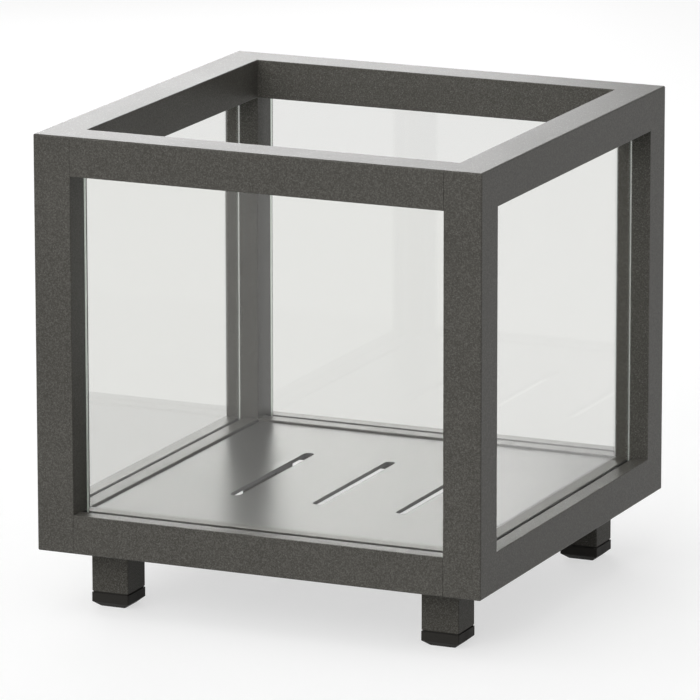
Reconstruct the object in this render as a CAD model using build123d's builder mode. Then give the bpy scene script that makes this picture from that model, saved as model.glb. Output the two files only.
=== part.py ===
from build123d import *
import os

os.makedirs("parts", exist_ok=True)

# Open-topped glass lantern on four short legs, in millimetres.
# The origin is on the floor under the middle of the lantern, +X to its right, +Y to its back, +Z up.

# Frame of square tube
frame_width = 300.0
frame_depth = 300.0
frame_height = 265.0
tube_size = 25.0
tube_wall = 1.8
frame_edge_radius = 1.0
tube_edge_radius = 0.5
end_plate_thickness = 2.0
drain_hole_diameter = 6.0

# Glazing grooves of the rails, measured from the tube's outer face
groove_centre = 12.5
groove_width = 5.0
groove_wall = 1.4
lower_groove_depth = 6.5

# Panes, pushed up into the deep upper groove and let down into the lower one, clear of the posts
glass_thickness = 3.0
glass_arris = 0.4
pane_side_gap = 4.0
pane_upper_bite = 9.0
pane_lift_clearance = 0.5
seal_base = 1.2
seal_recess = 0.5

# Base plate, dropped in between the bottom rails
plate_thickness = 2.5
plate_gap = 1.5
plate_recess = 1.2
plate_corner_radius = 3.0
plate_edge_radius = 0.4
slot_count = 3
slot_pitch = 57.0
slot_length = 118.0
slot_width = 7.0

# Legs and their push-in foot caps
leg_height = 40.0
leg_size = 25.0
leg_wall = 1.8
leg_edge_radius = 0.8
cap_size = 25.4
cap_height = 10.3
cap_bevel_height = 3.4
cap_bevel_inset = 4.2
cap_edge_radius = 0.9
cap_neck_height = 1.0
cap_neck_inset = 0.7
stem_height = 12.0
stem_wall = 2.0
stem_clearance = 0.8
rib_count = 3
rib_thickness = 1.0
rib_clearance = 0.1

# Levels and places that follow from the sizes above
frame_bottom = leg_height
frame_top = frame_bottom + frame_height
frame_middle = frame_bottom + frame_height / 2
post_x = frame_width / 2 - tube_size / 2
post_y = frame_depth / 2 - tube_size / 2
top_rail_z = frame_top - tube_size / 2
bottom_rail_z = frame_bottom + tube_size / 2
bay_width = frame_width - 2 * tube_size
bay_depth = frame_depth - 2 * tube_size
bay_height = frame_height - 2 * tube_size
pane_lower_bite = lower_groove_depth - seal_base
upper_groove_depth = pane_upper_bite + seal_base + pane_lower_bite + pane_lift_clearance
groove_offset = groove_centre - tube_size / 2
plate_top = frame_bottom + tube_size - plate_recess
plate_bottom = plate_top - plate_thickness
leg_x = bay_width / 2 - leg_size / 2
leg_y = bay_depth / 2 - leg_size / 2

corners = {
    "front_left": (-1, -1),
    "front_right": (1, -1),
    "back_left": (-1, 1),
    "back_right": (1, 1),
}
# Each side by the direction into the lantern
sides = {
    "front": Vector(0, 1, 0),
    "back": Vector(0, -1, 0),
    "left": Vector(1, 0, 0),
    "right": Vector(-1, 0, 0),
}


def save(piece, name):
    """Label the finished piece and write it under its own name."""
    piece.part.label = name
    export_step(piece.part, f"parts/{name}.step")


# Outer block of the frame, whose rounded edges every tube is trimmed to
with BuildPart() as envelope:
    with Locations((0, 0, frame_middle)):
        Box(frame_width, frame_depth, frame_height)
    fillet(envelope.edges(), frame_edge_radius)


def post_plane(side_x, side_y, level):
    """Plane across a post at a level, with X and Y both pointing into the lantern."""
    origin = (side_x * post_x, side_y * post_y, level)
    return Plane(origin=origin, x_dir=(-side_x, 0, 0), z_dir=(0, 0, side_x * side_y))


def post_outline():
    """Square of the post, eased on its inner edge and where the front or back rail butts."""
    outline = Rectangle(tube_size, tube_size)
    seam = outline.vertices().sort_by(lambda corner: corner.X - corner.Y)[-1]
    inner = outline.vertices().sort_by(lambda corner: corner.X + corner.Y)[-1]
    fillet([seam, inner], tube_edge_radius)


def make_post(name, side_x, side_y):
    """Plain full-height corner tube, closed by a plate at each end."""
    bore = tube_size - 2 * tube_wall
    with BuildPart() as post:
        with BuildSketch(post_plane(side_x, side_y, frame_middle)):
            post_outline()
            Rectangle(bore, bore, mode=Mode.SUBTRACT)
        extrude(amount=frame_height / 2, both=True)
        # Plates welded into both ends, with a drain hole in the lower one
        for level in (frame_bottom + end_plate_thickness / 2, frame_top - end_plate_thickness / 2):
            with BuildSketch(post_plane(side_x, side_y, level)):
                post_outline()
            extrude(amount=end_plate_thickness / 2, both=True)
        with BuildSketch(post_plane(side_x, side_y, frame_bottom + end_plate_thickness / 2)):
            Circle(drain_hole_diameter / 2)
        extrude(amount=end_plate_thickness / 2, both=True, mode=Mode.SUBTRACT)
        add(envelope.part, mode=Mode.INTERSECT)
    save(post, name)


def make_rail(name, inward, opening, groove_depth, length):
    """Tube between two posts, with its glazing groove facing the pane's opening."""
    level = top_rail_z if opening.Z < 0 else bottom_rail_z
    centre = Vector(-inward.X * post_x, -inward.Y * post_y, level)
    groove_reach = groove_depth + groove_wall
    bore = tube_size - 2 * tube_wall
    with BuildPart() as rail:
        with BuildSketch(Plane(origin=centre, x_dir=inward, z_dir=inward.cross(opening))):
            outline = Rectangle(tube_size, tube_size)
            eased = outline.vertices().sort_by(lambda corner: corner.X + corner.Y)[1:]
            fillet(eased, tube_edge_radius)
            Rectangle(bore, bore, mode=Mode.SUBTRACT)
            with Locations((groove_offset, tube_size / 2 - groove_reach / 2)):
                Rectangle(groove_width + 2 * groove_wall, groove_reach)
            with Locations((groove_offset, tube_size / 2 - groove_depth / 2)):
                Rectangle(groove_width, groove_depth, mode=Mode.SUBTRACT)
        extrude(amount=length / 2, both=True)
        add(envelope.part, mode=Mode.INTERSECT)
    save(rail, name)


def pane_centre(inward, level):
    """Point in the middle of a pane's thickness and width, at a level."""
    across = frame_width if inward.X else frame_depth
    return inward * (groove_centre - across / 2) + Vector(0, 0, level)


def make_pane(name, inward, bay):
    """Sheet of glass held by its top and bottom, with polished edges that stand free of the posts."""
    height = bay_height + pane_lower_bite + pane_upper_bite
    middle = pane_centre(inward, frame_middle + (pane_upper_bite - pane_lower_bite) / 2)
    with BuildPart() as pane:
        with BuildSketch(Plane(origin=middle, x_dir=Vector(0, 0, 1).cross(inward), z_dir=inward)):
            Rectangle(bay - 2 * pane_side_gap, height)
        extrude(amount=glass_thickness / 2, both=True)
        chamfer(pane.edges(), glass_arris)
    save(pane, name)


def make_seal(name, inward, opening, bite, length):
    """Rubber channel over one edge of a pane, sunk a little below the rail's face."""
    rim = pane_centre(inward, frame_middle - opening.Z * bay_height / 2)
    with BuildPart() as seal:
        with BuildSketch(Plane(origin=rim, x_dir=inward, z_dir=inward.cross(opening))):
            with Locations((0, -(seal_recess + bite + seal_base) / 2)):
                Rectangle(groove_width, bite + seal_base - seal_recess)
            with Locations((0, -(seal_recess + bite) / 2)):
                Rectangle(glass_thickness, bite - seal_recess, mode=Mode.SUBTRACT)
        extrude(amount=length / 2, both=True)
    save(seal, name)


def make_base_plate():
    """Flat sheet with a row of long air slots, lying loose on the tops of the legs."""
    with BuildPart() as plate:
        with BuildSketch(Plane.XY.offset(plate_bottom)):
            RectangleRounded(bay_width - 2 * plate_gap, bay_depth - 2 * plate_gap, plate_corner_radius)
            with GridLocations(slot_pitch, 0, slot_count, 1):
                SlotOverall(slot_length, slot_width, rotation=90, mode=Mode.SUBTRACT)
        extrude(amount=plate_thickness)
        upper_rim = plate.faces().sort_by(Axis.Z)[-1].outer_wire().edges()
        fillet(upper_rim, plate_edge_radius)
    save(plate, "base_plate")


def make_leg(name, side_x, side_y):
    """Short tube welded into the frame's corner, from its foot cap up to the base plate."""
    place = Plane(origin=(side_x * leg_x, side_y * leg_y, cap_height))
    bore = leg_size - 2 * leg_wall
    with BuildPart() as leg:
        with BuildSketch(place):
            RectangleRounded(leg_size, leg_size, leg_edge_radius)
            Rectangle(bore, bore, mode=Mode.SUBTRACT)
        extrude(amount=plate_bottom - cap_height)
    save(leg, name)


def make_foot_cap(name, side_x, side_y):
    """Plastic glide: bevelled foot, a recessed neck at the seam and a ribbed hollow stem."""
    place = Plane(origin=(side_x * leg_x, side_y * leg_y, 0))
    bore = leg_size - 2 * leg_wall
    stem_size = bore - 2 * stem_clearance
    rib_size = bore - 2 * rib_clearance
    foot_size = cap_size - 2 * cap_bevel_inset
    neck_size = leg_size - 2 * cap_neck_inset
    stem_cavity = stem_size - 2 * stem_wall
    with BuildPart() as cap:
        with BuildSketch(place):
            RectangleRounded(foot_size, foot_size, cap_edge_radius)
        with BuildSketch(place.offset(cap_bevel_height)):
            RectangleRounded(cap_size, cap_size, cap_edge_radius)
        loft(ruled=True)
        with BuildSketch(place.offset(cap_bevel_height)):
            RectangleRounded(cap_size, cap_size, cap_edge_radius)
        extrude(amount=cap_height - cap_neck_height - cap_bevel_height)
        with BuildSketch(place.offset(cap_height - cap_neck_height)):
            Rectangle(neck_size, neck_size)
        extrude(amount=cap_neck_height)
        with BuildSketch(place.offset(cap_height)):
            Rectangle(stem_size, stem_size)
        extrude(amount=stem_height)
        rib_pitch = stem_height / (rib_count + 1)
        for rib in range(rib_count):
            with BuildSketch(place.offset(cap_height + (rib + 1) * rib_pitch - rib_thickness / 2)):
                Rectangle(rib_size, rib_size)
            extrude(amount=rib_thickness)
        with BuildSketch(place.offset(cap_height)):
            Rectangle(stem_cavity, stem_cavity)
        extrude(amount=stem_height, mode=Mode.SUBTRACT)
    save(cap, name)


for corner_name, (side_x, side_y) in corners.items():
    make_post(f"post_{corner_name}", side_x, side_y)
    make_leg(f"leg_{corner_name}", side_x, side_y)
    make_foot_cap(f"foot_cap_{corner_name}", side_x, side_y)

for side_name, inward in sides.items():
    bay = bay_depth if inward.X else bay_width
    make_rail(f"top_rail_{side_name}", inward, Vector(0, 0, -1), upper_groove_depth, bay)
    make_rail(f"bottom_rail_{side_name}", inward, Vector(0, 0, 1), lower_groove_depth, bay)
    make_pane(f"glass_{side_name}", inward, bay)
    make_seal(f"glass_seal_{side_name}", inward, Vector(0, 0, 1), pane_lower_bite, bay)
    make_seal(f"glass_seal_upper_{side_name}", inward, Vector(0, 0, -1), pane_upper_bite, bay)

make_base_plate()
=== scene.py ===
import math

import bpy
from bpy.props import FloatProperty, FloatVectorProperty, PointerProperty
from mathutils import Matrix, Vector


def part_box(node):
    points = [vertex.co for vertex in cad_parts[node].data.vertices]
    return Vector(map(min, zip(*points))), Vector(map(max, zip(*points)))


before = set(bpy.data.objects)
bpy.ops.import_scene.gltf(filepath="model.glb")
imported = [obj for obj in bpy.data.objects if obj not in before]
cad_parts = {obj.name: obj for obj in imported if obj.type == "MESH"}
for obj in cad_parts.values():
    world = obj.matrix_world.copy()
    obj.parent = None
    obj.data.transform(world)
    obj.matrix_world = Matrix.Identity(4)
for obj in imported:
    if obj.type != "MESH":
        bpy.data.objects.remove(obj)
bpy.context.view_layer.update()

bl_info = {
    "name": "Garden Candle Lantern Finishes",
    "version": (1, 0, 0),
    "blender": (4, 5, 0),
    "location": "3D View > Sidebar > Lantern",
    "description": "Finishes, stage and view for a glass-sided candle lantern",
    "category": "Object",
}

NODES = sorted(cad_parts)
FLOAT = "NodeSocketFloat"
COLOUR = "NodeSocketColor"
VECTOR = "NodeSocketVector"
BLACK = (0.0, 0.0, 0.0, 1.0)
WHITE = (1.0, 1.0, 1.0, 1.0)


def nodes_of(*starts):
    """The frame's nodes whose names begin with one of these words, in order."""
    return [name for name in NODES if name.startswith(starts)]


# Settings


class LanternCoating(bpy.types.PropertyGroup):
    """Powder coat of the tubes and of the base plate."""

    frame_colour: FloatVectorProperty(
        name="Frame colour", description="Warm dark grey of the tubes", subtype="COLOR",
        size=3, min=0.0, max=1.0, default=(0.117, 0.113, 0.101))
    frame_shade: FloatVectorProperty(
        name="Frame shade", description="Darker grey in the hollows of the grain", subtype="COLOR",
        size=3, min=0.0, max=1.0, default=(0.0595, 0.0563, 0.0488))
    fleck_colour: FloatVectorProperty(
        name="Fleck colour", description="Bright specks in the powder", subtype="COLOR",
        size=3, min=0.0, max=1.0, default=(0.20, 0.197, 0.183))
    frame_flecks: FloatProperty(
        name="Frame flecks", description="Share of the tubes' grains that are specks", default=0.12,
        min=0.0, max=1.0, subtype="FACTOR")
    frame_roughness: FloatProperty(
        name="Frame roughness", description="Roughness of the tubes, 0 is a mirror", default=0.42,
        min=0.0, max=1.0, subtype="FACTOR")
    frame_index: FloatProperty(
        name="Frame index", description="Refractive index of the tubes' coat, which sets its sheen",
        default=1.27, min=1.0, max=3.0)
    # Painted shade: the legs' darker tone and duller index stand in for the shade under the lantern
    leg_painted_shade_tone: FloatProperty(
        name="Leg tone", description="Colour of the legs' coat against that of the frame", default=0.95,
        min=0.0, max=2.0)
    leg_index: FloatProperty(
        name="Leg index", description="Refractive index of the legs' coat, which is duller",
        default=1.14, min=1.0, max=3.0)
    grain_size: FloatProperty(
        name="Grain size", description="Width of one grain of the coat", default=0.0008,
        min=0.0001, max=0.01, subtype="DISTANCE", unit="LENGTH")
    grain_depth: FloatProperty(
        name="Grain depth", description="Height of the grain of the coat", default=0.00003,
        min=0.0, max=0.001, subtype="DISTANCE", unit="LENGTH")
    plate_colour: FloatVectorProperty(
        name="Plate colour", description="Grey of the base plate", subtype="COLOR",
        size=3, min=0.0, max=1.0, default=(0.094, 0.092, 0.087))
    plate_flecks: FloatProperty(
        name="Plate flecks", description="Share of the plate's grains that are specks", default=0.05,
        min=0.0, max=1.0, subtype="FACTOR")
    plate_roughness: FloatProperty(
        name="Plate roughness", description="Roughness of the base plate, 0 is a mirror", default=0.30,
        min=0.0, max=1.0, subtype="FACTOR")
    plate_index: FloatProperty(
        name="Plate index", description="Refractive index of the plate's coat, which sets its sheen",
        default=1.172, min=1.0, max=3.0)


class LanternGlazing(bpy.types.PropertyGroup):
    """Panes and the rubber channels that hold them."""

    glass_tint: FloatVectorProperty(
        name="Glass tint", description="Colour of light that has passed one pane", subtype="COLOR",
        size=3, min=0.0, max=1.0, default=(0.970, 0.972, 0.956))
    glass_index: FloatProperty(
        name="Glass index", description="Refractive index of the panes", default=1.5, min=1.0, max=3.0)
    shadow_pass: FloatProperty(
        name="Shadow pass", description="Share of a lamp's light that a pane lets through", default=0.96,
        min=0.0, max=1.0, subtype="FACTOR")
    edge_colour: FloatVectorProperty(
        name="Edge colour", description="Pale green of the panes' upright edges", subtype="COLOR",
        size=3, min=0.0, max=1.0, default=(0.60, 0.68, 0.60))
    edge_roughness: FloatProperty(
        name="Edge roughness", description="Roughness of the panes' upright edges", default=0.4,
        min=0.0, max=1.0, subtype="FACTOR")
    edge_reach: FloatProperty(
        name="Edge reach", description="How near to a pane's end its glass counts as the edge",
        default=0.0005, min=0.0001, max=0.01, subtype="DISTANCE", unit="LENGTH")
    # Painted light: emission that makes the panes' upright edges glow like light piped through the glass
    painted_edge_glow: FloatVectorProperty(
        name="Edge glow", description="Light that the panes pipe to their upright edges", subtype="COLOR",
        size=3, min=0.0, max=1.0, default=(0.085, 0.094, 0.085))
    rubber_colour: FloatVectorProperty(
        name="Rubber colour", description="Black of the glazing channel", subtype="COLOR",
        size=3, min=0.0, max=1.0, default=(0.030, 0.030, 0.029))


class LanternFeet(bpy.types.PropertyGroup):
    """Moulded foot caps."""

    cap_colour: FloatVectorProperty(
        name="Cap colour", description="Dark plastic of the foot caps", subtype="COLOR",
        size=3, min=0.0, max=1.0, default=(0.033, 0.0313, 0.0285))
    cap_roughness: FloatProperty(
        name="Cap roughness", description="Roughness of the foot caps, 0 is a mirror", default=0.5,
        min=0.0, max=1.0, subtype="FACTOR")
    cap_index: FloatProperty(
        name="Cap index", description="Refractive index of the foot caps, which sets their sheen",
        default=1.13, min=1.0, max=3.0)


class LanternStage(bpy.types.PropertyGroup):
    """Floor, light and camera."""

    floor_size: FloatProperty(
        name="Floor size", description="Length of each side of the floor", default=80.0,
        min=1.0, subtype="DISTANCE", unit="LENGTH")
    floor_colour: FloatVectorProperty(
        name="Floor colour", description="Pale floor", subtype="COLOR",
        size=3, min=0.0, max=1.0, default=(0.44, 0.44, 0.44))
    floor_lift: FloatProperty(
        name="Floor lift", description="White that the floor adds where it is seen or mirrored",
        default=0.605, min=0.01)
    ambient: FloatProperty(
        name="Ambient", description="Strength of the even light from all sides", default=0.55,
        min=0.0, max=0.99)
    white_in_glass: FloatProperty(
        name="White in glass", description="White of the surroundings where a pane is looked through",
        default=0.79, min=0.5, max=1.0)
    key_direction: FloatVectorProperty(
        name="Key direction", description="Way that the key light shines, from above, ahead and left",
        subtype="XYZ", size=3, default=(0.45, 0.45, -1.0))
    key_strength: FloatProperty(
        name="Key strength", description="Strength of the key light", default=0.8, min=0.0)
    key_spread: FloatProperty(
        name="Key spread", description="Angle that the key light fills, which makes it soft",
        subtype="ANGLE", unit="ROTATION", default=math.radians(70.0))
    front_direction: FloatVectorProperty(
        name="Front direction", description="Way that the low front light shines", subtype="XYZ",
        size=3, default=(0.15, 1.0, -0.35))
    front_strength: FloatProperty(
        name="Front strength", description="Strength of the front light", default=1.3, min=0.0)
    front_spread: FloatProperty(
        name="Front spread", description="Angle that the front light fills, which makes it soft",
        subtype="ANGLE", unit="ROTATION", default=math.radians(50.0))
    panel_place: FloatVectorProperty(
        name="Panel place", description="Middle of the soft panel behind the lantern, to its left",
        subtype="TRANSLATION", unit="LENGTH", size=3, default=(-1.15, 1.64, 0.62))
    panel_width: FloatProperty(
        name="Panel width", description="Width of the panel", default=1.2, min=0.01,
        subtype="DISTANCE", unit="LENGTH")
    panel_height: FloatProperty(
        name="Panel height", description="Height of the panel", default=1.1, min=0.01,
        subtype="DISTANCE", unit="LENGTH")
    panel_spread: FloatProperty(
        name="Panel spread", description="Angle into which the panel shines", subtype="ANGLE",
        unit="ROTATION", default=math.radians(60.0))
    panel_power: FloatProperty(
        name="Panel power", description="Power of the panel in watts", default=2.9, min=0.0)
    camera_place: FloatVectorProperty(
        name="Camera place", description="Where the camera stands", subtype="TRANSLATION",
        unit="LENGTH", size=3, default=(1.67988, -3.76785, 1.12486))
    camera_heading: FloatProperty(
        name="Heading", description="Turn of the view round the lantern", subtype="ANGLE",
        unit="ROTATION", default=math.radians(24.0733))
    camera_dip: FloatProperty(
        name="Dip", description="How far the view looks down", subtype="ANGLE",
        unit="ROTATION", default=math.radians(13.2941))
    camera_roll: FloatProperty(
        name="Roll", description="Tilt of the picture", subtype="ANGLE",
        unit="ROTATION", default=math.radians(-0.0693))
    camera_lens: FloatProperty(
        name="Lens", description="Focal length in millimetres on a 36 mm sensor", default=345.2, min=1.0)


# Node helpers


def place(tree, kind, **settings):
    """A new node with some of its settings given."""
    node = tree.nodes.new(kind)
    for name, value in settings.items():
        setattr(node, name, value)
    return node


def feed(tree, socket, value):
    """Link a socket's input to another node's output, or give it a plain value."""
    if isinstance(value, bpy.types.NodeSocket):
        tree.links.new(value, socket)
    else:
        socket.default_value = value


def sums(tree, operation, *values):
    """Result of a maths node, such as the sum or the greater of two values."""
    node = place(tree, "ShaderNodeMath", operation=operation)
    for socket, value in zip(node.inputs, values):
        feed(tree, socket, value)
    return node.outputs[0]


def between(tree, value, low, high, to_low=0.0, to_high=1.0):
    """Smooth step from one value to another while the given one goes from low to high."""
    node = place(tree, "ShaderNodeMapRange", interpolation_type="SMOOTHSTEP")
    for name, given in (("Value", value), ("From Min", low), ("From Max", high),
                        ("To Min", to_low), ("To Max", to_high)):
        feed(tree, node.inputs[name], given)
    return node.outputs["Result"]


def blend_colours(tree, share, first, second):
    """Mix of two colours, all of the second where the share is one."""
    node = place(tree, "ShaderNodeMix", data_type="RGBA")
    # The node has sockets of several kinds, and those of colours are inputs 6 and 7 and output 2
    feed(tree, node.inputs[0], share)
    feed(tree, node.inputs[6], first)
    feed(tree, node.inputs[7], second)
    return node.outputs[2]


def cloud(tree, vector, scale, detail=2.0, roughness=0.5):
    """Noise value between 0 and 1 with patches of 1 / scale metres."""
    node = place(tree, "ShaderNodeTexNoise")
    feed(tree, node.inputs["Vector"], vector)
    feed(tree, node.inputs["Scale"], scale)
    feed(tree, node.inputs["Detail"], detail)
    feed(tree, node.inputs["Roughness"], roughness)
    return node.outputs[0]


def drifting(tree, vector, scale, low, high):
    """Value that drifts between two others over patches of 1 / scale metres."""
    common_low = 0.2
    common_high = 0.8
    return between(tree, cloud(tree, vector, scale), common_low, common_high, low, high)


def new_group(name, inputs, outputs):
    """Shader node group with named sockets, and the nodes at its two ends."""
    tree = bpy.data.node_groups.new(name, "ShaderNodeTree")
    for label, kind, default in inputs:
        socket = tree.interface.new_socket(name=label, in_out="INPUT", socket_type=kind)
        if default is not None:
            socket.default_value = default
    for label, kind in outputs:
        tree.interface.new_socket(name=label, in_out="OUTPUT", socket_type=kind)
    start = place(tree, "NodeGroupInput")
    end = place(tree, "NodeGroupOutput")
    return tree, start.outputs, end.inputs


def use_group(tree, group, **values):
    """Place a group in a material; underscores in the names stand for spaces."""
    node = place(tree, "ShaderNodeGroup")
    node.node_tree = group
    for name, value in values.items():
        feed(tree, node.inputs[name.replace("_", " ")], value)
    return node.outputs


def colour4(colour, tone=1.0):
    """Colour made lighter or darker by a factor, with an alpha of one."""
    return (tone * colour[0], tone * colour[1], tone * colour[2], 1.0)


def powder_grain_group():
    """Powder coat: fine sand, orange peel, bright flecks and slow drifts of tone.

    Sand and peel are noise of one grain's size and of a few grains. A fleck is the core of a cell of
    about one grain, in the share of the cells that is asked for, and each has its own brightness. The
    drift is noise of some centimetres that shifts both tone and roughness.
    """
    name = "Powder Grain"
    if name in bpy.data.node_groups:
        return bpy.data.node_groups[name]
    hollow_sand = 0.38
    crest_sand = 0.70
    peel_scale = 0.22
    peel_height = 1.4
    cell_scale = 0.9
    fleck_rim = 0.5
    fleck_core = 0.12
    dullest_fleck = 0.35
    drift_scale = 14.0
    drift_tone = 0.5
    drift_roughness = 0.6
    middle_noise = 0.5
    tree, given, result = new_group(
        name,
        [("Vector", VECTOR, None), ("Grain Size", FLOAT, 0.0009), ("Colour", COLOUR, None),
         ("Shade", COLOUR, None), ("Fleck Colour", COLOUR, None), ("Fleck Share", FLOAT, 0.06),
         ("Roughness", FLOAT, 0.4), ("Roughness Spread", FLOAT, 0.1)],
        [("Colour", COLOUR), ("Roughness", FLOAT), ("Height", FLOAT)])
    vector = given["Vector"]
    scale = sums(tree, "DIVIDE", 1.0, given["Grain Size"])
    sand = cloud(tree, vector, scale, detail=2.0, roughness=0.65)
    peel = cloud(tree, vector, sums(tree, "MULTIPLY", scale, peel_scale), detail=1.0)
    drift = cloud(tree, vector, drift_scale, detail=3.0, roughness=0.55)
    drift = sums(tree, "SUBTRACT", drift, middle_noise)

    cells = place(tree, "ShaderNodeTexVoronoi")
    feed(tree, cells.inputs["Vector"], vector)
    feed(tree, cells.inputs["Scale"], sums(tree, "MULTIPLY", scale, cell_scale))
    draws = place(tree, "ShaderNodeSeparateColor")
    feed(tree, draws.inputs[0], cells.outputs["Color"])
    chosen = sums(tree, "LESS_THAN", draws.outputs[0], given["Fleck Share"])
    core = between(tree, cells.outputs["Distance"], fleck_rim, fleck_core)
    brightness = sums(tree, "MULTIPLY", draws.outputs[1], 1.0 - dullest_fleck)
    glint = sums(tree, "MULTIPLY", core, sums(tree, "ADD", dullest_fleck, brightness))
    fleck = sums(tree, "MULTIPLY", chosen, glint)

    contrast = between(tree, sand, hollow_sand, crest_sand)
    tone = sums(tree, "ADD", contrast, sums(tree, "MULTIPLY", drift, drift_tone))
    body = blend_colours(tree, tone, given["Shade"], given["Colour"])
    feed(tree, result["Colour"], blend_colours(tree, fleck, body, given["Fleck Colour"]))

    # Hollows and flecks are smoother than the crests of the sand
    swing = sums(tree, "SUBTRACT", sand, sums(tree, "ADD", middle_noise, fleck))
    swing = sums(tree, "ADD", swing, sums(tree, "MULTIPLY", drift, drift_roughness))
    swing = sums(tree, "MULTIPLY", swing, given["Roughness Spread"])
    feed(tree, result["Roughness"], sums(tree, "ADD", given["Roughness"], swing))
    feed(tree, result["Height"], sums(tree, "ADD", sand, sums(tree, "MULTIPLY", peel, peel_height)))
    return tree


def new_finish(name):
    """Empty material with its shader and the object coordinates ready."""
    material = bpy.data.materials.new(name)
    material.use_nodes = True
    tree = material.node_tree
    tree.nodes.clear()
    shader = place(tree, "ShaderNodeBsdfPrincipled")
    out = place(tree, "ShaderNodeOutputMaterial")
    tree.links.new(shader.outputs[0], out.inputs[0])
    coordinates = place(tree, "ShaderNodeTexCoord").outputs["Object"]
    return material, tree, shader, coordinates


def raise_grain(tree, shader, height, distance, strength=1.0):
    """Bump of a shader's normal by a height pattern."""
    bump = place(tree, "ShaderNodeBump")
    bump.inputs["Strength"].default_value = strength
    bump.inputs["Distance"].default_value = distance
    tree.links.new(height, bump.inputs["Height"])
    tree.links.new(bump.outputs[0], shader.inputs["Normal"])


def seen_share(tree, loss):
    """One for rays of the camera and of mirrors and nought for rays that carry light.

    Rays that come through glass lose the given part of the one.
    """
    path = place(tree, "ShaderNodeLightPath").outputs
    seen = sums(tree, "MAXIMUM", path["Is Camera Ray"], path["Is Glossy Ray"])
    seen = sums(tree, "MAXIMUM", seen, path["Is Transmission Ray"])
    return sums(tree, "SUBTRACT", seen, sums(tree, "MULTIPLY", path["Is Transmission Ray"], loss))


def dress(names, material):
    """Give a finish to CAD nodes through their material slots."""
    for name in names:
        for slot in bpy.data.objects[name].material_slots:
            slot.material = material


def powder_coat(title, names, index, depth, **look):
    """Powder coat on CAD nodes: its refractive index, the depth of its grain and the group's values."""
    material, tree, shader, coordinates = new_finish(title)
    grain = use_group(tree, powder_grain_group(), Vector=coordinates, **look)
    tree.links.new(grain["Colour"], shader.inputs["Base Color"])
    tree.links.new(grain["Roughness"], shader.inputs["Roughness"])
    raise_grain(tree, shader, grain["Height"], depth)
    shader.inputs["IOR"].default_value = index
    dress(names, material)


# Finishes


class LANTERN_OT_coat_frame(bpy.types.Operator):
    """Coat the posts, rails and legs with the textured dark grey powder"""

    bl_idname = "lantern.coat_frame"
    bl_label = "Coat the frame"

    def coat(self, coating, title, names, tone, index):
        """The powder on some nodes, with its own tone and refractive index; on the legs these paint shade.
        """
        powder_coat(
            title, names, index, coating.grain_depth, Grain_Size=coating.grain_size,
            Colour=colour4(coating.frame_colour, tone), Shade=colour4(coating.frame_shade, tone),
            Fleck_Colour=colour4(coating.fleck_colour, tone), Fleck_Share=coating.frame_flecks,
            Roughness=coating.frame_roughness, Roughness_Spread=0.12)

    def execute(self, context):
        coating = context.scene.lantern_coating
        tubes = nodes_of("post_", "top_rail_", "bottom_rail_")
        legs = nodes_of("leg_")
        self.coat(coating, "frame powder coat", tubes, tone=1.0, index=coating.frame_index)
        # Painted shade: the legs' copy of the coat is darker and duller for the shade under the lantern
        self.coat(coating, "leg powder coat with painted shade", legs, tone=coating.leg_painted_shade_tone, index=coating.leg_index)
        return {"FINISHED"}


class LANTERN_OT_coat_plate(bpy.types.Operator):
    """Coat the slotted base plate with the smoother satin powder"""

    bl_idname = "lantern.coat_plate"
    bl_label = "Coat the base plate"

    def execute(self, context):
        coating = context.scene.lantern_coating
        grain_size = 0.8 * coating.grain_size
        grain_depth = 0.35 * coating.grain_depth
        shade_tone = 0.7
        powder_coat(
            "plate satin coat", ["base_plate"], coating.plate_index, grain_depth, Grain_Size=grain_size,
            Colour=colour4(coating.plate_colour), Shade=colour4(coating.plate_colour, shade_tone),
            Fleck_Colour=colour4(coating.fleck_colour), Fleck_Share=coating.plate_flecks,
            Roughness=coating.plate_roughness, Roughness_Spread=0.06)
        return {"FINISHED"}


class LANTERN_OT_glaze_panes(bpy.types.Operator):
    """Turn the four panes into clear float glass with pale green polished edges"""

    bl_idname = "lantern.glaze_panes"
    bl_label = "Glaze the panes"

    def free_edges(self, tree, coordinates, reach):
        """One within a reach of a pane's two upright ends, whichever way the pane faces, else nought."""
        ends = (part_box("glass_front")[1].x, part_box("glass_left")[1].y)
        axes = place(tree, "ShaderNodeSeparateXYZ")
        feed(tree, axes.inputs[0], coordinates)
        near = []
        for axis, end in zip(axes.outputs, ends):
            offset = sums(tree, "SUBTRACT", sums(tree, "ABSOLUTE", axis), end)
            near.append(sums(tree, "LESS_THAN", sums(tree, "ABSOLUTE", offset), reach))
        return sums(tree, "MAXIMUM", near[0], near[1])

    def execute(self, context):
        glazing = context.scene.lantern_glazing
        wave_scale = 7.0
        wave_height = 0.0002
        wave_strength = 0.2
        material, tree, shader, coordinates = new_finish("clear float glass")
        edge = self.free_edges(tree, coordinates, glazing.edge_reach)
        tint = blend_colours(tree, edge, colour4(glazing.glass_tint), colour4(glazing.edge_colour))
        tree.links.new(tint, shader.inputs["Base Color"])
        tree.links.new(sums(tree, "MULTIPLY", edge, glazing.edge_roughness), shader.inputs["Roughness"])
        # Painted light: the upright edges emit a glow that stands in for light piped through the glass
        glow = blend_colours(tree, edge, BLACK, colour4(glazing.painted_edge_glow))
        tree.links.new(glow, shader.inputs["Emission Color"])
        shader.inputs["Emission Strength"].default_value = 1.0
        shader.inputs["IOR"].default_value = glazing.glass_index
        shader.inputs["Transmission Weight"].default_value = 1.0
        wave = cloud(tree, coordinates, wave_scale, detail=1.0)
        raise_grain(tree, shader, wave, wave_height, wave_strength)
        # Shadow rays pass the panes, so that the floor and the plate are lit through them
        path = place(tree, "ShaderNodeLightPath").outputs
        passed = sums(tree, "MULTIPLY", path["Is Shadow Ray"], glazing.shadow_pass)
        tree.links.new(sums(tree, "SUBTRACT", 1.0, passed), shader.inputs["Alpha"])
        dress(["glass_front", "glass_back", "glass_left", "glass_right"], material)
        return {"FINISHED"}


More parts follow.
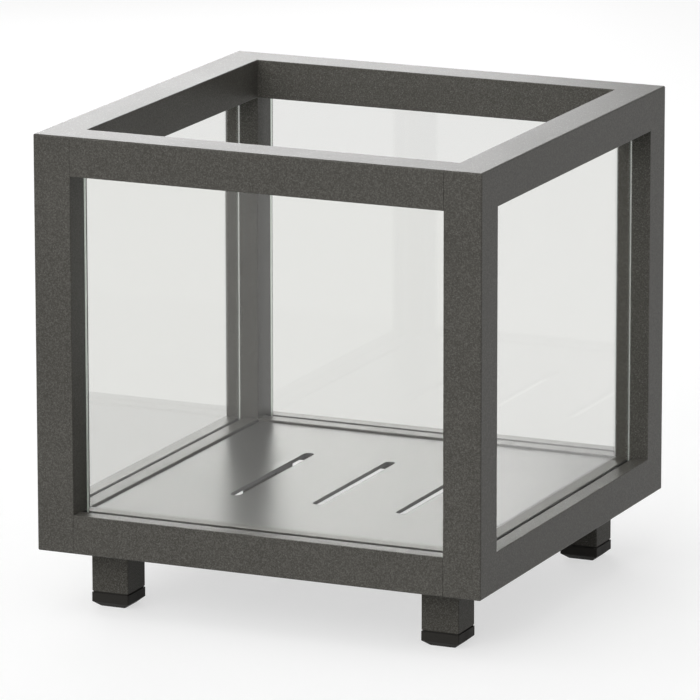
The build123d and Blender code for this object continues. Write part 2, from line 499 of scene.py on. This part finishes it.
class LANTERN_OT_fit_seals(bpy.types.Operator):
    """Give the glazing channels their matt black rubber"""

    bl_idname = "lantern.fit_seals"
    bl_label = "Fit the rubber channels"

    def execute(self, context):
        glazing = context.scene.lantern_glazing
        skin_scale = 900.0
        skin_height = 0.00003
        drift_scale = 40.0
        smoothest = 0.55
        roughest = 0.75
        material, tree, shader, coordinates = new_finish("glazing rubber")
        skin = cloud(tree, coordinates, skin_scale)
        low = colour4(glazing.rubber_colour, tone=0.6)
        high = colour4(glazing.rubber_colour, tone=1.5)
        tree.links.new(blend_colours(tree, skin, low, high), shader.inputs["Base Color"])
        roughness = drifting(tree, coordinates, drift_scale, smoothest, roughest)
        tree.links.new(roughness, shader.inputs["Roughness"])
        raise_grain(tree, shader, skin, skin_height)
        dress(nodes_of("glass_seal_"), material)
        return {"FINISHED"}


class LANTERN_OT_mould_caps(bpy.types.Operator):
    """Give the foot caps their spark-textured black plastic"""

    bl_idname = "lantern.mould_caps"
    bl_label = "Mould the foot caps"

    def execute(self, context):
        feet = context.scene.lantern_feet
        skin_scale = 1500.0
        skin_height = 0.00004
        drift_scale = 60.0
        roughness_drift = 0.08
        smoothest = feet.cap_roughness - roughness_drift
        roughest = feet.cap_roughness + roughness_drift
        material, tree, shader, coordinates = new_finish("foot cap plastic")
        skin = cloud(tree, coordinates, skin_scale, detail=3.0, roughness=0.7)
        low = colour4(feet.cap_colour, tone=0.75)
        high = colour4(feet.cap_colour, tone=1.3)
        tree.links.new(blend_colours(tree, skin, low, high), shader.inputs["Base Color"])
        roughness = drifting(tree, coordinates, drift_scale, smoothest, roughest)
        tree.links.new(roughness, shader.inputs["Roughness"])
        raise_grain(tree, shader, skin, skin_height)
        shader.inputs["IOR"].default_value = feet.cap_index
        dress(nodes_of("foot_cap_"), material)
        return {"FINISHED"}


# Stage


class LANTERN_OT_set_stage(bpy.types.Operator):
    """Lay the pale floor, hang the soft lights and stand the camera"""

    bl_idname = "lantern.set_stage"
    bl_label = "Set the stage"

    def lay_floor(self, context, stage):
        """Flat square under the feet, white for the camera and in mirrors, a little less through glass."""
        half = stage.floor_size / 2
        patch_scale = 3.0
        patch_tone = 0.99
        corners = [(-half, -half, 0), (half, -half, 0), (half, half, 0), (-half, half, 0)]
        mesh = bpy.data.meshes.new("floor")
        mesh.from_pydata(corners, [], [(0, 1, 2, 3)])
        floor = bpy.data.objects.new("floor", mesh)
        context.scene.collection.objects.link(floor)
        material, tree, shader, coordinates = new_finish("pale floor")
        tone = between(tree, cloud(tree, coordinates, patch_scale), low=0.0, high=1.0)
        low = colour4(stage.floor_colour, patch_tone)
        high = colour4(stage.floor_colour)
        tree.links.new(blend_colours(tree, tone, low, high), shader.inputs["Base Color"])
        shader.inputs["Roughness"].default_value = 1.0
        shader.inputs["Specular IOR Level"].default_value = 0.0
        shader.inputs["Emission Strength"].default_value = stage.floor_lift
        share = seen_share(tree, (1.0 - stage.white_in_glass) / stage.floor_lift)
        tree.links.new(blend_colours(tree, share, BLACK, WHITE), shader.inputs["Emission Color"])
        mesh.materials.append(material)

    def light_world(self, context, stage):
        """Even white surroundings, dimmer for what they light than for what shows them."""
        world = bpy.data.worlds.new("studio")
        world.use_nodes = True
        tree = world.node_tree
        tree.nodes.clear()
        share = seen_share(tree, (1.0 - stage.white_in_glass) / (1.0 - stage.ambient))
        extra = sums(tree, "MULTIPLY", share, 1.0 - stage.ambient)
        strength = sums(tree, "ADD", extra, stage.ambient)
        background = place(tree, "ShaderNodeBackground")
        feed(tree, background.inputs["Strength"], strength)
        out = place(tree, "ShaderNodeOutputWorld")
        tree.links.new(background.outputs[0], out.inputs[0])
        context.scene.world = world

    def hang(self, context, lamp, location, towards):
        """Hang a lamp at a place, facing a direction."""
        hung = bpy.data.objects.new(lamp.name, lamp)
        hung.location = location
        hung.rotation_mode = "QUATERNION"
        hung.rotation_quaternion = Vector(towards).to_track_quat("-Z", "Y")
        context.scene.collection.objects.link(hung)
        return hung

    def hang_sun(self, context, name, towards, strength, spread):
        """Broad far light that shines along a direction, equally strong all over the floor."""
        distance = 2.0
        lamp = bpy.data.lights.new(name, "SUN")
        lamp.energy = strength
        lamp.angle = spread
        self.hang(context, lamp, -distance * Vector(towards).normalized(), towards)

    def hang_panel(self, context, stage):
        """Soft panel turned to the lantern's foot, which lights and is mirrored but isn't seen itself."""
        lamp = bpy.data.lights.new("back panel", "AREA")
        lamp.shape = "RECTANGLE"
        lamp.size = stage.panel_width
        lamp.size_y = stage.panel_height
        lamp.spread = stage.panel_spread
        lamp.energy = stage.panel_power
        panel = self.hang(context, lamp, stage.panel_place, -Vector(stage.panel_place))
        panel.visible_camera = False

    def stand_camera(self, context, stage):
        """Camera from its place, heading, dip and roll, with no shift of the lens."""
        heading, dip, roll = stage.camera_heading, stage.camera_dip, stage.camera_roll
        level = math.cos(dip)
        ahead = Vector((-math.sin(heading) * level, math.cos(heading) * level, -math.sin(dip)))
        right = Vector((math.cos(heading), math.sin(heading), 0.0))
        up = right.cross(ahead)
        across = right * math.cos(roll) + up * math.sin(roll)
        upward = up * math.cos(roll) - right * math.sin(roll)
        data = bpy.data.cameras.new("camera")
        data.sensor_width = 36.0
        data.lens = stage.camera_lens
        data.clip_end = 200.0
        camera = bpy.data.objects.new("camera", data)
        turn = Matrix((across, upward, -ahead)).transposed().to_4x4()
        camera.matrix_world = Matrix.Translation(stage.camera_place) @ turn
        context.scene.collection.objects.link(camera)
        context.scene.camera = camera

    def execute(self, context):
        stage = context.scene.lantern_stage
        self.lay_floor(context, stage)
        self.light_world(context, stage)
        self.hang_sun(context, "key light", stage.key_direction, stage.key_strength, stage.key_spread)
        self.hang_panel(context, stage)
        self.hang_sun(
            context, "front light", stage.front_direction, stage.front_strength, stage.front_spread)
        self.stand_camera(context, stage)
        context.scene.view_settings.view_transform = "Standard"
        return {"FINISHED"}


# Add-on


class LANTERN_PT_panel(bpy.types.Panel):
    """The lantern's finishes and stage in the sidebar"""

    bl_idname = "LANTERN_PT_panel"
    bl_label = "Garden Candle Lantern"
    bl_space_type = "VIEW_3D"
    bl_region_type = "UI"
    bl_category = "Lantern"

    def draw(self, context):
        layout = self.layout
        for name in SETTINGS:
            box = layout.box()
            group = getattr(context.scene, name)
            for key in group.__annotations__:
                box.prop(group, key)
        for operator in OPERATORS:
            layout.operator(operator.bl_idname)


SETTINGS = {
    "lantern_coating": LanternCoating,
    "lantern_glazing": LanternGlazing,
    "lantern_feet": LanternFeet,
    "lantern_stage": LanternStage,
}
OPERATORS = (
    LANTERN_OT_coat_frame,
    LANTERN_OT_coat_plate,
    LANTERN_OT_glaze_panes,
    LANTERN_OT_fit_seals,
    LANTERN_OT_mould_caps,
    LANTERN_OT_set_stage,
)


def register():
    for group in SETTINGS.values():
        bpy.utils.register_class(group)
    for name, group in SETTINGS.items():
        setattr(bpy.types.Scene, name, PointerProperty(type=group))
    for operator in OPERATORS:
        bpy.utils.register_class(operator)
    bpy.utils.register_class(LANTERN_PT_panel)


def unregister():
    bpy.utils.unregister_class(LANTERN_PT_panel)
    for operator in reversed(OPERATORS):
        bpy.utils.unregister_class(operator)
    for name, group in SETTINGS.items():
        delattr(bpy.types.Scene, name)
        bpy.utils.unregister_class(group)


def main():
    register()
    bpy.ops.lantern.coat_frame()
    bpy.ops.lantern.coat_plate()
    bpy.ops.lantern.glaze_panes()
    bpy.ops.lantern.fit_seals()
    bpy.ops.lantern.mould_caps()
    bpy.ops.lantern.set_stage()


if __name__ == "__main__":
    main()
